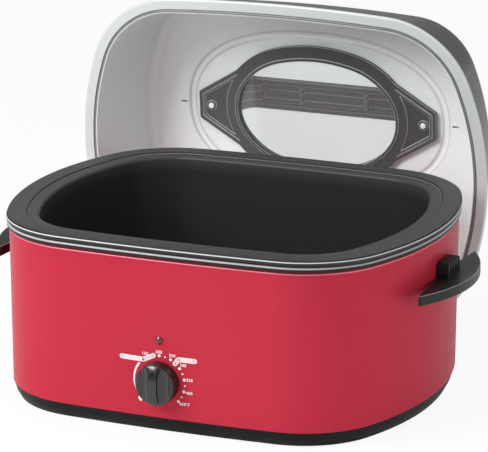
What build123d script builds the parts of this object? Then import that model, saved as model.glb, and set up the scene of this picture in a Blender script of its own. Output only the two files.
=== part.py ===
from build123d import *
import math
import os

os.makedirs("parts", exist_ok=True)

# An electric roaster oven. Millimetres, +Z up, -Y the front, and the origin on the table
# under the middle of the base. The lid is off and stands on its long edge behind the body.

# ---- driving sizes: the body ----
body_length = 520.0  # over the pan rim, left to right
body_depth = 434.0  # over the pan rim, front to back
body_height = 221.0  # table to the top of the pan rim
side_radius = 2200.0  # the long sides bow out a little
end_radius = 360.0
corner_radius = 115.0

steel = 0.9  # shell, collar, well and shield sheet
plastic = 2.5  # moulded walls
seat_gap = 0.3  # between pieces that lift apart or have curved faces

base_height = 18.2
base_top_inset = 6.0  # base wall at its top, in from the rim outline
base_foot_inset = 13.0  # base wall at its foot
base_floor_lift = 4.0  # floor underside above the table
foot_show = 1.5  # rubber showing below the base wall

shell_foot_inset = 5.0
shell_top_inset = 3.5
shell_bend = 1.6
shell_foot_flange = 26.0  # inset at which the turned-in bottom edge ends
shell_top_flange = 13.0

collar_inset = 0.8
collar_height = 7.3
collar_reach = 24.0  # inset of the collar's inner lip
collar_lip = 8.0

# ---- driving sizes: pan and well ----
pan_sheet = 1.3
pan_roll_height = 6.7
well_flange_high = body_height - pan_roll_height - seat_gap  # under the pan's roll
shell_top_height = well_flange_high - steel - collar_height - seat_gap
pan_band = 23.0  # flat outer band of the rim
pan_ledge = 16.0  # sunken inner band that carries the lid's lip
pan_ledge_drop = 2.2
pan_taper = 8.0
pan_floor_height = 58.0
pan_floor_bend = 22.0
well_air = 6.5  # between pan wall and well wall
well_floor_height = 44.0
well_taper = 4.0
well_bend = 14.0

# ---- driving sizes: heating ----
band_low, band_high = 66.0, 114.0
band_thickness = 3.0
strap_width, strap_thickness = 10.0, 0.8
blanket_low, blanket_high = 40.0, 196.0
blanket_thickness = 9.0
shield_height = 33.0

# ---- driving sizes: controls ----
control_x = -6.0
knob_height = 62.0  # axis above the table
lamp_height = 111.0
knob_diameter = 48.5
knob_skirt = 14.0  # depth of its full-width part
knob_face = 18.0  # depth at the middle of its domed face
knob_depth = 21.0  # over the grip bar
knob_bar_width = 11.0
knob_wall_gap = 1.6
shaft_diameter = 6.0
bushing_diameter = 10.0
thermostat_width, thermostat_height, thermostat_depth = 44.0, 34.0, 15.0
lamp_diameter = 9.0

# ---- driving sizes: handles ----
handle_top = shell_top_height - 43.5
handle_plate = 12.0
handle_half_width = 101.0
handle_reach = 37.0  # past the shell at the middle
handle_tip_reach = 5.5  # past the same line at the two tips
handle_skin, handle_lip = 5.0, 3.6  # top and edge of the shelf round its hollow underside
handle_block_width = 40.0
handle_block_depth = 15.0
handle_block_top = shell_top_height - 25.5
handle_block_foot = shell_top_height - 62.5
handle_screw_spacing = 22.0
handle_screw_height = shell_top_height - 36.5

# ---- driving sizes: lid ----
lid_length = 540.0
lid_depth = 412.0
lid_height = 132.0  # mouth to the outside of the top panel
lid_sheet = 1.2
lid_flange = 13.0
lid_lean = 6.0  # degrees, top edge towards the front
lid_behind = 22.0  # from the back of the rim to the mouth, level with the rim
lid_shift = -40.0  # the lid stands this far along +X from the middle
lid_shoulder = 24.0
lid_wall_top_inset = 36.0

window_offset = 20.0  # window centre from the lid's long centre line
window_length, window_depth = 256.0, 184.0  # over the frame's oval
window_side_radius = window_length - 46.0
window_end_radius = window_depth - 108.0
window_corner_radius = 105.0
window_border = 20.0  # frame oval to clear glass
glass_lap = 6.0  # glass held behind the frame's opening
lug_reach = 162.0
lug_width = 36.0
lug_screw_reach = 145.0
frame_thickness = 5.0
frame_lip = 1.2  # height of the lip round the opening, and depth of the lugs' fields
glass_thickness = 4.0
grip_width = 40.0
grip_height = 70.0  # outer face of the grip above the top panel
grip_thickness = 16.0
grip_rib_spacing = 90.0
bead_length, bead_depth = 344.0, 208.0  # stiffening bead pressed into the top panel
bead_width, bead_lift = 10.0, 2.2
bead_side_radius = bead_length - 44.0
bead_end_radius = bead_depth - 138.0
bead_corner_radius = 130.0
vent_reach = 186.0
vent_length, vent_width = 9.0, 2.4


class Oval:
    """A long rounded outline of tangent arcs: two sides, two ends and four corners."""

    def __init__(self, length, depth, side, end, corner):
        self.a, self.b = length / 2, depth / 2
        self.side, self.end, self.corner = side, end, corner
        low = Vector(0, self.b - side)  # centre of the side arc at +Y
        out = Vector(self.a - end, 0)  # centre of the end arc at +X
        reach_low, reach_out = side - corner, end - corner
        span = out - low
        along = (reach_low**2 - reach_out**2 + span.length**2) / (2 * span.length)
        rise = math.sqrt(reach_low**2 - along**2)
        step = span.normalized()
        across = Vector(-step.Y, step.X)
        for turn in (1, -1):
            knee = low + step * along + across * rise * turn
            to_side = (knee - low) / reach_low
            to_end = (knee - out) / reach_out
            if min(to_side.X, to_side.Y, to_end.X, to_end.Y) > 0:
                self.knee = knee  # centre of the corner arc
                self.side_turn = math.degrees(math.atan2(to_side.Y, to_side.X))
                self.end_turn = math.degrees(math.atan2(to_end.Y, to_end.X))

    def arcs(self):
        """Centre, radius, first and last angle of each arc, anticlockwise from +X."""
        e, s = self.end_turn, self.side_turn
        kx, ky = self.knee.X, self.knee.Y
        return [
            ((self.a - self.end, 0), self.end, -e, e),
            ((kx, ky), self.corner, e, s),
            ((0, self.b - self.side), self.side, s, 180 - s),
            ((-kx, ky), self.corner, 180 - s, 180 - e),
            ((self.end - self.a, 0), self.end, 180 - e, 180 + e),
            ((-kx, -ky), self.corner, 180 + e, 180 + s),
            ((0, self.side - self.b), self.side, 180 + s, 360 - s),
            ((kx, -ky), self.corner, 360 - s, 360 - e),
        ]

    def face(self, inset=0.0):
        edges = [
            CenterArc(centre, radius - inset, first, last - first)
            for centre, radius, first, last in self.arcs()
        ]
        return make_face(edges)

    def slab(self, inset, low, high):
        return Pos(0, 0, low) * extrude(self.face(inset), high - low)

    def ring(self, profile):
        """Carries a profile round the outline. Its x is measured outward from the
        outline, so a point at an inset has a negative x, and its y is the height."""
        spans = []
        for (cx, cy), radius, first, last in self.arcs():
            c, s = math.cos(math.radians(first)), math.sin(math.radians(first))
            plane = Plane(origin=(cx, cy, 0), x_dir=(c, s, 0), z_dir=(s, -c, 0))
            face = plane * (Pos(radius, 0) * profile)
            spans.append(revolve(face, Axis((cx, cy, 0), (0, 0, 1)), last - first))
        return fuse(spans)

    def side_y(self, x, inset=0.0):
        """How far out the side, or the corner after it, lies at x."""
        if abs(x) <= (self.side - inset) * math.cos(math.radians(self.side_turn)):
            return self.b - self.side + math.sqrt((self.side - inset) ** 2 - x**2)
        return self.knee.Y + math.sqrt((self.corner - inset) ** 2 - (abs(x) - self.knee.X) ** 2)

    def end_x(self, y, inset=0.0):
        """How far out the end, or the corner beside it, lies at y."""
        if abs(y) <= (self.end - inset) * math.sin(math.radians(self.end_turn)):
            return self.a - self.end + math.sqrt((self.end - inset) ** 2 - y**2)
        return self.knee.X + math.sqrt((self.corner - inset) ** 2 - (abs(y) - self.knee.Y) ** 2)


def fuse(solids):
    whole = solids[0]
    for solid in solids[1:]:
        whole = whole + solid
    return whole


def bent(points, bend, thickness):
    """Section of a bent sheet whose middle line runs through the points."""
    return trace(FilletPolyline(*points, radius=bend), line_width=thickness)


def between(low, high, share):
    return low + (high - low) * share


body = Oval(body_length, body_depth, side_radius, end_radius, corner_radius)
nodes = {}


# ---- outer shell: one wrap of sheet with its bottom and top edges turned in ----
shell_low = base_height


def shell_inset(z):
    """Inset of the shell's outer face at a height."""
    share = (z - shell_low) / (shell_top_height - shell_low)
    return between(shell_foot_inset, shell_top_inset, share)


shell_path = [
    (-shell_foot_flange, shell_low + steel / 2),
    (-shell_foot_inset - steel / 2, shell_low + steel / 2),
    (-shell_top_inset - steel / 2, shell_top_height - steel / 2),
    (-shell_top_flange, shell_top_height - steel / 2),
]
shell = body.ring(bent(shell_path, shell_bend, steel))

front_y = -body.side_y(control_x, shell_inset(knob_height))
back_gland_x, back_gland_z = 140.0, 48.0
gland_diameter = 12.0
through = 12.0  # length of a drill that passes the wall


def drill(x, y, z, diameter, turn, length=through):
    """A round cutter through the wall; turn 0 looks along Y and 90 along X."""
    return Pos(x, y, z) * Rot(0, 0, turn) * Rot(90, 0, 0) * Cylinder(diameter / 2, length)


def wall_end(z, y=0.0):
    return body.end_x(y, shell_inset(z))


gland_y = body.side_y(back_gland_x, shell_inset(back_gland_z))
gland_turn = -math.degrees(math.asin(back_gland_x / side_radius))
screw_hole = 4.6
shell -= drill(control_x, front_y, knob_height, bushing_diameter + 2 * seat_gap, 0)
shell -= drill(control_x, front_y, lamp_height, lamp_diameter + 2 * seat_gap, 0)
shell -= drill(back_gland_x, gland_y, back_gland_z, gland_diameter + 2 * seat_gap, gland_turn)
handle_spots = [
    (side, y) for side in (-1, 1) for y in (-handle_screw_spacing / 2, handle_screw_spacing / 2)
]
for side, y in handle_spots:
    shell -= drill(side * wall_end(handle_screw_height, y), y, handle_screw_height, screw_hole, 90)

# Screws that tie base, shell and heat shield, spaced round the turned-in bottom edge.
tie_inset = 20.5
tie_x = 150.0
tie_spots = [(x, s * body.side_y(x, tie_inset)) for x in (-tie_x, 0.0, tie_x) for s in (-1, 1)]
tie_diameter = 3.6
tie_hole = 4.2


def stand(x, y, low, high, diameter):
    """An upright cylinder between two heights."""
    return Pos(x, y, (low + high) / 2) * Cylinder(diameter / 2, high - low)


def at_ties(low, high, diameter):
    return [stand(x, y, low, high, diameter) for x, y in tie_spots]


for hole in at_ties(shell_low - 1, shell_low + 2, tie_hole):
    shell -= hole
nodes["outer_shell"] = shell


# ---- base tray: moulded wall and floor, bosses for the tie screws, cooling slots ----
floor_top = base_floor_lift + plastic
wall_outline = Polyline(
    (-base_top_inset, base_height),
    (-between(base_top_inset, base_foot_inset, 0.35), between(foot_show, base_height, 0.5)),
    (-base_foot_inset, foot_show),
    (-base_foot_inset - plastic, foot_show),
    (-base_foot_inset - plastic, base_floor_lift),
    (-base_foot_inset - 6 * plastic, base_floor_lift),
    (-base_foot_inset - 6 * plastic, floor_top),
    (-base_foot_inset - plastic, floor_top),
    (-base_top_inset - plastic, base_height),
    close=True,
)
tray = body.ring(make_face(wall_outline))
tray += body.slab(base_foot_inset + 6 * plastic, base_floor_lift, floor_top)
boss_diameter = 9.0
for boss in at_ties(floor_top - 1, base_height, boss_diameter):
    tray += boss
for hole in at_ties(base_floor_lift - 1, base_height + 1, tie_hole):
    tray -= hole
slot_length, slot_width, slot_pitch = 60.0, 5.0, 14.0
slots_in_row = 9
slot_offset = 80.0  # each row from the middle line
for side in (-1, 1):
    for i in range(slots_in_row):
        x = (i - (slots_in_row - 1) / 2) * slot_pitch
        slot = extrude(SlotOverall(slot_length, slot_width), 3 * plastic)
        tray -= Pos(x, side * slot_offset, base_floor_lift - plastic) * Rot(0, 0, 90) * slot
nodes["base_tray"] = tray

# ---- feet: turned rubber pads under the corners of the floor ----
foot_x, foot_y = 185.0, 140.0
foot_diameter = 24.0
foot = Pos(0, 0, base_floor_lift / 2) * Cylinder(foot_diameter / 2, base_floor_lift)
foot = chamfer(foot.edges().group_by(Axis.Z)[0], 1.2)
foot_spots = [(x, y) for x in (-foot_x, foot_x) for y in (-foot_y, foot_y)]
for number, (x, y) in enumerate(foot_spots, 1):
    nodes[f"foot_{number}"] = Pos(x, y, 0) * foot

# ---- heat shield: stamped plate on the shell's turned-in edge ----
shield_low = shell_low + steel
shield_panel_inset = 60.0
shield_path = [
    (-8.0, shield_low + steel / 2),
    (-shell_foot_flange - 2.0, shield_low + steel / 2),
    (-shell_foot_flange - 6.0, shield_height - steel / 2),
    (-shield_panel_inset, shield_height - steel / 2),
]
shield = body.ring(bent(shield_path, 3.0, steel))
shield += body.slab(shield_panel_inset, shield_height - steel, shield_height)
for hole in at_ties(shield_low - 1, shield_low + 2, tie_hole):
    shield -= hole
nodes["heat_shield"] = shield

# ---- tie screws: pan-headed, from under the base ----
head_diameter, head_height = 7.5, 2.4
tie_top = shield_low + steel + 3.0


def tie_screw(x, y):
    shank = stand(x, y, base_floor_lift, tie_top, tie_diameter)
    head = stand(x, y, base_floor_lift - head_height, base_floor_lift, head_diameter)
    return shank + chamfer(head.edges().group_by(Axis.Z)[0], 0.8)


nodes["base_screws"] = Compound([tie_screw(x, y) for x, y in tie_spots])

# ---- top collar: rolled ring that hides the shell's edge and carries the pan ----
collar_low = shell_top_height + seat_gap
collar_top = well_flange_high - steel  # room for the well's flange
collar_path = [
    (-collar_inset - 7.0, collar_low + steel / 2),
    (-collar_inset - steel / 2, collar_low + steel / 2),
    (-collar_inset - steel / 2, collar_top - steel / 2),
    (-collar_reach, collar_top - steel / 2),
    (-collar_reach, collar_top - collar_lip),
]
nodes["top_collar"] = body.ring(bent(collar_path, 2.2, steel))

# ---- roasting pan: rolled rim, flat band, sunken ledge, tapering walls ----
rim_low = body_height - pan_roll_height
band_middle = body_height - pan_sheet / 2
ledge_middle = band_middle - pan_ledge_drop
cavity_inset = pan_band + pan_ledge  # inner face of the wall at the ledge
pan_wall_inset = cavity_inset - pan_sheet / 2
pan_foot_inset = pan_wall_inset + pan_taper
pan_floor_inset = pan_foot_inset + pan_floor_bend + 2.0
pan_path = [
    (-6.0, rim_low + pan_sheet / 2),
    (-pan_sheet / 2, rim_low + pan_sheet / 2),
    (-pan_sheet / 2, band_middle),
    (-pan_band, band_middle),
    (-pan_band - pan_ledge_drop, ledge_middle),
    (-pan_wall_inset, ledge_middle),
    (-pan_foot_inset, pan_floor_height + pan_sheet / 2),
    (-pan_floor_inset, pan_floor_height + pan_sheet / 2),
]
pan_bends = [2.0, 2.4, 1.1, 1.1, 3.0, pan_floor_bend]
pan = body.ring(bent(pan_path, pan_bends, pan_sheet))
pan += body.slab(pan_floor_inset, pan_floor_height, pan_floor_height + pan_sheet)
nodes["roasting_pan"] = pan

# ---- inner well: liner whose flange lies on the collar ----
well_flange_low = collar_top
well_flange_inset = 3.0  # its edge shows as a bright line under the pan's rim
well_top_inset = cavity_inset - pan_sheet - well_air - steel / 2  # middle of the sheet
well_foot_inset = well_top_inset + well_taper
well_floor_inset = well_foot_inset + well_bend + 2.0
well_path = [
    (-well_flange_inset, well_flange_low + steel / 2),
    (-well_top_inset, well_flange_low + steel / 2),
    (-well_foot_inset, well_floor_height + steel / 2),
    (-well_floor_inset, well_floor_height + steel / 2),
]
well = body.ring(bent(well_path, [2.0, well_bend], steel))
well += body.slab(well_floor_inset, well_floor_height, well_floor_height + steel)
nodes["inner_well"] = well


def well_face(z):
    """Inset of the well's outer face at a height."""
    share = (z - well_floor_height) / (well_flange_low - well_floor_height)
    return between(well_foot_inset, well_top_inset, share) - steel / 2


def sleeve(low, high, gap, thickness):
    """A ring that follows the well's slope at a gap outside it."""
    foot, top = well_face(low) - gap, well_face(high) - gap
    points = [(-foot, low), (-foot + thickness, low), (-top + thickness, high), (-top, high)]
    return body.ring(make_face(Polyline(*points, close=True)))


# ---- heater: flat element wrapped round the well, two straps, glass-fibre blanket ----
nodes["heater_band"] = sleeve(band_low, band_high, seat_gap, band_thickness)
strap_gap = 2 * seat_gap + band_thickness
strap_lows = (band_low + 4.0, band_high - 4.0 - strap_width)
for number, low in enumerate(strap_lows, 1):
    nodes[f"heater_strap_{number}"] = sleeve(low, low + strap_width, strap_gap, strap_thickness)
blanket_gap = strap_gap + strap_thickness + seat_gap
blanket = sleeve(blanket_low, blanket_high, blanket_gap, blanket_thickness)
opening_width = thermostat_width + 24.0
opening_height = lamp_height + 24.0
opening_depth = 90.0  # through the blanket at the front
opening = Box(opening_width, opening_depth, opening_height)
blanket -= Pos(control_x, -body.b, opening_height / 2) * opening
nodes["insulation_blanket"] = blanket

# ---- ceramic spacers between heat shield and well floor ----
spacer_x, spacer_y, spacer_diameter = 120.0, 90.0, 16.0
spacer_spots = [(x, y) for x in (-spacer_x, spacer_x) for y in (-spacer_y, spacer_y)]
for number, (x, y) in enumerate(spacer_spots, 1):
    spacer = stand(x, y, shield_height, well_floor_height, spacer_diameter)
    nodes[f"well_spacer_{number}"] = spacer

# ---- thermostat: moulded case behind the wall, with a threaded bushing and a nut ----
wall_y = front_y + steel + seat_gap  # inside of the wall, facing back
case = Pos(control_x, wall_y + thermostat_depth / 2, knob_height) * Box(
    thermostat_width, thermostat_depth, thermostat_height
)
case = fillet(case.edges().filter_by(Axis.Y), 4.0)
nut_thickness, nut_gap = 0.9, 0.2
bushing_end = front_y - nut_gap - nut_thickness
bushing = Pos(control_x, (bushing_end + wall_y + 1.0) / 2, knob_height) * Rot(90, 0, 0)
case += bushing * Cylinder(bushing_diameter / 2, wall_y + 1.0 - bushing_end)
shaft_bore = shaft_diameter + 2 * seat_gap
case -= drill(control_x, bushing_end, knob_height, shaft_bore, 0, 2 * thermostat_depth)
terminal = Box(6.0, 4.0, 12.0)
for x in (-12.0, 12.0):
    tail_y = wall_y + thermostat_depth + 1.5
    case += Pos(control_x + x, tail_y, knob_height + 6.0) * terminal
nodes["thermostat"] = case

nut = extrude(RegularPolygon(radius=8.0, side_count=6), nut_thickness)
nut -= Cylinder(bushing_diameter / 2 + 0.1, 4 * nut_thickness)
nodes["thermostat_nut"] = Pos(control_x, front_y - nut_gap, knob_height) * Rot(90, 0, 0) * nut

# ---- indicator lamp: domed lens through the wall, held from behind ----
lamp_y = -body.side_y(control_x, shell_inset(lamp_height))
lens_proud, lens_length = 2.8, 11.0
dome_radius = 6.0
lens = Pos(0, 0, lens_proud - lens_length / 2) * Cylinder(lamp_diameter / 2, lens_length)
lens &= Pos(0, 0, lens_proud - dome_radius) * Sphere(dome_radius) + Pos(0, 0, -lens_length / 2) * (
    Cylinder(lamp_diameter / 2, lens_length)
)
nodes["lamp_lens"] = Pos(control_x, lamp_y, lamp_height) * Rot(90, 0, 0) * lens
holder_low = lamp_y + steel + seat_gap
holder = Pos(0, 0, 0) * Cylinder(lamp_diameter / 2 + 3.0, 9.0)
holder -= Cylinder(lamp_diameter / 2 + 0.2, 20.0)
nodes["lamp_holder"] = (
    Pos(control_x, holder_low + 4.5, lamp_height) * Rot(90, 0, 0) * holder
)

# ---- control knob: domed disc with a grip bar between two scoops, on a flatted shaft ----
# It is drawn face up, with its pointer towards +Y, and then turned to the front.
knob_back = front_y - knob_wall_gap
to_front = Pos(control_x, knob_back, knob_height) * Rot(90, 0, 0)
knob_radius = knob_diameter / 2
knob_draft, knob_edge = 0.8, 2.4


def cap_radius(rise):
    """Radius of the ball whose cap over the knob has this rise."""
    return (knob_radius**2 + rise**2) / (2 * rise)


face_ball = cap_radius(knob_face - knob_skirt)
knob = Pos(0, 0, knob_face / 2) * Cone(knob_radius, knob_radius - knob_draft, knob_face)
knob &= Pos(0, 0, knob_face - face_ball) * Sphere(face_ball)
knob = fillet(knob.edges().filter_by(lambda edge: edge.is_closed).sort_by(Axis.Z)[-1], knob_edge)
scoop_depth, scoop_radius = 4.2, 11.0
scoop_x = knob_bar_width / 2 + math.sqrt(scoop_radius**2 - (scoop_radius - scoop_depth) ** 2)
for side in (-1, 1):
    scoop = Rot(90, 0, 0) * Cylinder(scoop_radius, knob_diameter)
    knob -= Pos(side * scoop_x, 0, knob_face - scoop_depth + scoop_radius) * scoop
bar_ball = cap_radius(knob_depth - knob_skirt - 1.0)
grip_bar = Pos(0, 0, knob_depth / 2) * Box(knob_bar_width, knob_diameter, knob_depth)
grip_bar = fillet(grip_bar.faces().sort_by(Axis.Z)[-1].edges().filter_by(Axis.Y), 2.2)
grip_bar &= Pos(0, 0, knob_depth - bar_ball) * Sphere(bar_ball)
grip_bar &= Pos(0, 0, knob_depth / 2) * Cylinder(knob_radius - knob_draft - 0.2, knob_depth)
knob += grip_bar
pointer_length, pointer_width, pointer_depth = 11.0, 1.6, 1.0
pointer_low = knob_face - pointer_depth
knob -= Pos(0, knob_radius - pointer_length / 2, pointer_low + knob_depth / 2) * Box(
    pointer_width, pointer_length, knob_depth
)
insert_diameter, insert_depth = 10.0, 14.0
socket = Pos(0, 0, insert_depth / 2) * Cylinder(insert_diameter / 2, insert_depth)
nodes["control_knob"] = to_front * (knob - socket)

flat_depth = 1.4


def flatted(low, high):
    """A round rod of the shaft's size with a flat on one side, between two heights."""
    rod = stand(0, 0, low, high, shaft_diameter)
    flat = Pos(shaft_diameter - flat_depth, 0, (low + high) / 2)
    return rod - flat * Box(shaft_diameter, shaft_diameter, 2 * (high - low))


nodes["knob_insert"] = to_front * (socket - flatted(-1.0, insert_depth + 1.0))
shaft_tail = -(knob_wall_gap + steel + thermostat_depth - 2.0)
nodes["thermostat_shaft"] = to_front * flatted(shaft_tail, insert_depth)

# ---- cable gland and terminal block at the back ----
gland_flange, gland_proud = 19.0, 3.0
cable_bore = 7.0
gland = Pos(0, 0, 3.5) * Cylinder(gland_diameter / 2, 7.0)
flange = Pos(0, 0, -gland_proud / 2) * Cylinder(gland_flange / 2, gland_proud)
gland += fillet(flange.edges().group_by(Axis.Z)[0], 1.0)
gland -= Cylinder(cable_bore / 2, 30.0)
gland_seat = Pos(back_gland_x, gland_y, back_gland_z) * Rot(0, 0, gland_turn) * Pos(0, seat_gap, 0)
nodes["cable_gland"] = gland_seat * Rot(90, 0, 0) * gland
block_x, block_z = 110.0, 60.0
block_depth = 12.0
block_y = body.side_y(block_x + 16.0, shell_inset(block_z)) - steel - seat_gap
block = Pos(block_x, block_y - block_depth / 2, block_z) * Box(32.0, block_depth, 16.0)
for i in (-1, 0, 1):
    block -= Pos(block_x + 10.0 * i, block_y - block_depth / 2, block_z + 6.0) * Cylinder(2.6, 8.0)
nodes["terminal_block"] = block

# ---- carrying handles: a crescent shelf, hollow below, on a ribbed mounting block ----
wall_x = wall_end(handle_top) + seat_gap
out_x = wall_x + handle_reach
tip_x = wall_x + handle_tip_reach
half_block = handle_block_width / 2
front_tip, rear_tip = (tip_x, -handle_half_width), (tip_x, handle_half_width)
shelf_face = make_face(
    [
        ThreePointArc(front_tip, (out_x, 0), rear_tip),
        Line(rear_tip, (wall_x, half_block)),
        Line((wall_x, half_block), (wall_x, -half_block)),
        Line((wall_x, -half_block), front_tip),
    ]
)
shelf_low = handle_top - handle_plate
shelf = Pos(0, 0, shelf_low) * extrude(shelf_face, handle_plate)
tip_round, edge_round = 1.6, 1.0
for end in (0, -1):
    shelf = fillet(shelf.edges().filter_by(Axis.Z).group_by(Axis.Y)[end], tip_round)
shelf = fillet(shelf.edges().filter_by(lambda edge: edge.length > handle_half_width), edge_round)
hollow_height = handle_plate - handle_skin
hollow = Pos(0, 0, shelf_low) * extrude(offset(shelf_face, -handle_lip), hollow_height)
shelf_ribs, shelf_rib_pitch, shelf_rib_width = 3, 18.0, 2.0
for i in range(1, shelf_ribs + 1):
    for side in (-1, 1):
        y = side * (half_block + i * shelf_rib_pitch - shelf_rib_pitch / 2)
        hollow -= Pos(out_x - handle_reach / 2, y, shelf_low) * Box(
            2 * handle_reach, shelf_rib_width, 2 * handle_plate
        )
block_low, block_high = handle_block_foot, handle_block_top
block_out_x = wall_x + handle_block_depth
mount = Pos(wall_x, 0, (block_low + block_high) / 2) * Box(
    2 * handle_block_depth, handle_block_width, block_high - block_low
)
mount = fillet(mount.edges().filter_by(Axis.X), 5.0)
mount = fillet(mount.faces().sort_by(Axis.X)[-1].edges(), 2.0)
groove_count, groove_pitch, groove_width, groove_depth = 4, 8.4, 3.2, 2.4
groove_low = handle_top + 2.0
for i in range(groove_count):
    y = (i - (groove_count - 1) / 2) * groove_pitch
    mount -= Pos(block_out_x, y, (groove_low + block_high + 2.0) / 2) * Box(
        2 * groove_depth, groove_width, block_high + 2.0 - groove_low
    )
handle = (shelf - hollow) + mount
cut_low, cut_high = handle_block_foot - 5.0, handle_block_top + 5.0
wall_side = [
    (seat_gap - shell_inset(cut_low), cut_low),
    (seat_gap - shell_inset(cut_high), cut_high),
    (-4 * handle_block_depth, cut_high),
    (-4 * handle_block_depth, cut_low),
]
handle -= body.ring(make_face(Polyline(*wall_side, close=True)))
pilot, pilot_room, screw_bite = 3.0, 0.4, 9.0
for y in (-handle_screw_spacing / 2, handle_screw_spacing / 2):
    pilot_hole = Cylinder(pilot / 2 + pilot_room, 2 * (screw_bite + 1.0))
    handle -= Pos(wall_x, y, handle_screw_height) * Rot(0, 90, 0) * pilot_hole
nodes["handle_right"] = handle
nodes["handle_left"] = mirror(handle, Plane.YZ)

# Backing plates inside the wall and the screws that draw the handles onto it.
plate_thickness, plate_margin, plate_height = 1.5, 8.0, 18.0
inner_x = wall_end(handle_screw_height, handle_screw_spacing / 2 + plate_margin) - steel - seat_gap
shank_length = wall_x + screw_bite - (inner_x - plate_thickness)
handle_screws = []
for side, word in ((1, "right"), (-1, "left")):
    plate = Pos(side * (inner_x - plate_thickness / 2), 0, handle_screw_height) * Box(
        plate_thickness, handle_screw_spacing + 2 * plate_margin, plate_height
    )
    for y in (-handle_screw_spacing / 2, handle_screw_spacing / 2):
        plate -= drill(side * inner_x, y, handle_screw_height, screw_hole, 90)
        head_x = inner_x - plate_thickness - head_height / 2
        head = Pos(side * head_x, y, handle_screw_height) * Rot(0, 90, 0)
        shank = Pos(side * (inner_x - plate_thickness + shank_length / 2), y, handle_screw_height)
        screw = head * Cylinder(head_diameter / 2, head_height)
        screw += shank * Rot(0, 90, 0) * Cylinder(pilot / 2, shank_length)
        handle_screws.append(screw)
    nodes[f"handle_plate_{word}"] = plate
nodes["handle_screws"] = Compound(handle_screws)

# ---- wire rack: welded frame, cross wires, legs and two lifting loops ----
frame_wire, cross_wire, leg_wire = 4.0, 3.0, 3.2
weld = 0.6  # how far crossing wires melt into each other
rack_lift = 16.0  # middle of the frame wire above the pan's floor
pan_floor_top = pan_floor_height + pan_sheet
rack_height = pan_floor_top + rack_lift
rack_inset = pan_floor_inset + frame_wire / 2
rack = body.ring(Pos(-rack_inset, rack_height) * Circle(frame_wire / 2))
wire_pitch, wire_overhang = 36.0, 1.0
wires = int((body.a - rack_inset) / wire_pitch - 0.5)
cross_height = rack_height + (frame_wire + cross_wire) / 2 - weld
for i in range(-wires, wires + 1):
    x = i * wire_pitch
    half = body.side_y(x, rack_inset) + wire_overhang
    rack += Pos(x, 0, cross_height) * Rot(90, 0, 0) * Cylinder(cross_wire / 2, 2 * half)
leg_x = 2.5 * wire_pitch
for x in (-leg_x, leg_x):
    for side in (-1, 1):
        y = side * (body.side_y(x, rack_inset) - (frame_wire + leg_wire) / 2 + weld - 0.1)
        rack += stand(x, y, pan_floor_top + seat_gap, rack_height + weld + 0.1, leg_wire)
loop_half, loop_top, loop_lean, loop_bend = 42.0, 62.0, 10.0, 12.0
loop_x = body.end_x(loop_half, rack_inset) - (frame_wire + cross_wire) / 2 + weld + 0.3
loop_foot = rack_height - 1.0
for side in (-1, 1):
    loop = FilletPolyline(
        (side * loop_x, -loop_half, loop_foot),
        (side * (loop_x + loop_lean), -loop_half + loop_lean, rack_height + loop_top),
        (side * (loop_x + loop_lean), loop_half - loop_lean, rack_height + loop_top),
        (side * loop_x, loop_half, loop_foot),
        radius=loop_bend,
    )
    rack += sweep(Plane(origin=loop @ 0, z_dir=loop % 0) * Circle(cross_wire / 2), loop)
nodes["wire_rack"] = rack


# ================= the lid, drawn mouth down on its own plane =================
# Local z runs from the mouth to the top panel. The lid is then stood on its long edge.
lid = Oval(lid_length, lid_depth, side_radius, end_radius, corner_radius + 3.0)
stand_up = Plane(
    origin=(
        lid_shift,
        body.b + lid_behind - (body_height - lid.b) * -math.tan(math.radians(lid_lean)),
        lid.b * math.cos(math.radians(lid_lean)) + seat_gap,
    ),
    x_dir=(-1, 0, 0),
    z_dir=(0, math.cos(math.radians(lid_lean)), math.sin(math.radians(lid_lean))),
)
lid_parts = {}

# ---- lid rim: rolled channel that grips the edge of the dome ----
rim_sheet = 1.0
rim_depth = 5.6
lid_rim_path = [
    (-lid_flange, rim_sheet / 2),
    (-rim_sheet / 2, rim_sheet / 2),
    (-rim_sheet / 2, rim_depth - rim_sheet / 2),
    (-lid_flange + 4.0, rim_depth - rim_sheet / 2),
]
lid_parts["lid_rim"] = lid.ring(bent(lid_rim_path, 2.0, rim_sheet))

# ---- lid shell: flange, bead, steep wall, round shoulder, flat panel ----
flange_middle = rim_depth / 2
panel_middle = lid_height - lid_sheet / 2
panel_inset = lid_wall_top_inset + lid_shoulder + 4.0
dome_path = [
    (-3.0, flange_middle),
    (-lid_flange - 0.9, flange_middle),
    (-lid_flange - 1.4, 0.3),
    (-lid_flange - 4.4, 0.3),
    (-lid_flange - 6.4, 8.0),
    (-lid_wall_top_inset, panel_middle),
    (-panel_inset, panel_middle),
]
dome = lid.ring(bent(dome_path, [0.8, 0.8, 0.8, 1.5, lid_shoulder], lid_sheet))
dome += lid.slab(panel_inset, panel_middle - lid_sheet / 2, panel_middle + lid_sheet / 2)

frame_oval = Oval(
    window_length, window_depth, window_side_radius, window_end_radius, window_corner_radius
)
bead_oval = Oval(bead_length, bead_depth, bead_side_radius, bead_end_radius, bead_corner_radius)
panel_in, panel_out = panel_middle - lid_sheet / 2, panel_middle + lid_sheet / 2
bead_slope = 2.0


def bead_section(half, low, high):
    """Section of the pressed bead: a low trapezoid between two heights."""
    points = [(-half, low), (bead_slope - half, high), (half - bead_slope, high), (half, low)]
    return make_face(Polyline(*points, close=True))


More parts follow.
